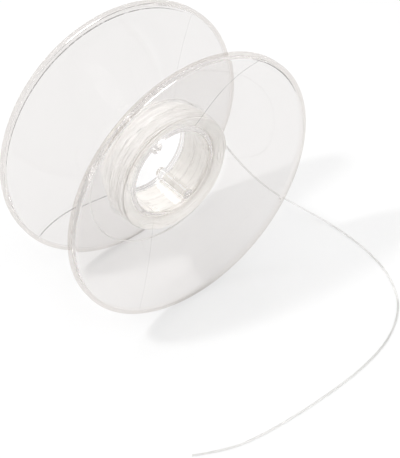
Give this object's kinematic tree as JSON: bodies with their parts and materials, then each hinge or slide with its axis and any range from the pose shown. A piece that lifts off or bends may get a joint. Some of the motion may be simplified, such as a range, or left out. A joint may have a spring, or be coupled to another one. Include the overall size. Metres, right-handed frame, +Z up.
{
  "type": "thread reel",
  "caption": "Clear plastic reel with dished flanges and an open hub, wound with clear thread whose loose end trails on the table.",
  "frame": {"origin": "on the floor, under the middle of the reel as it stands on its two rims", "axes": "+Y along the reel's axis, from the front flange to the rear one, +Z up, +X to the side where the tail leaves"},
  "size_m": [0.0808, 0.0746, 0.07],
  "materials": {
    "clear_reel": "clear moulded polystyrene, polished",
    "clear_thread": "clear drawn nylon monofilament, glossy"
  },
  "bodies": {
    "root": {"front_reel_half": "clear_reel", "rear_reel_half": "clear_reel", "thread_inner_layers": "clear_thread", "thread_outer_turns": "clear_thread", "thread_tail": "clear_thread"}
  },
  "joints": []
}
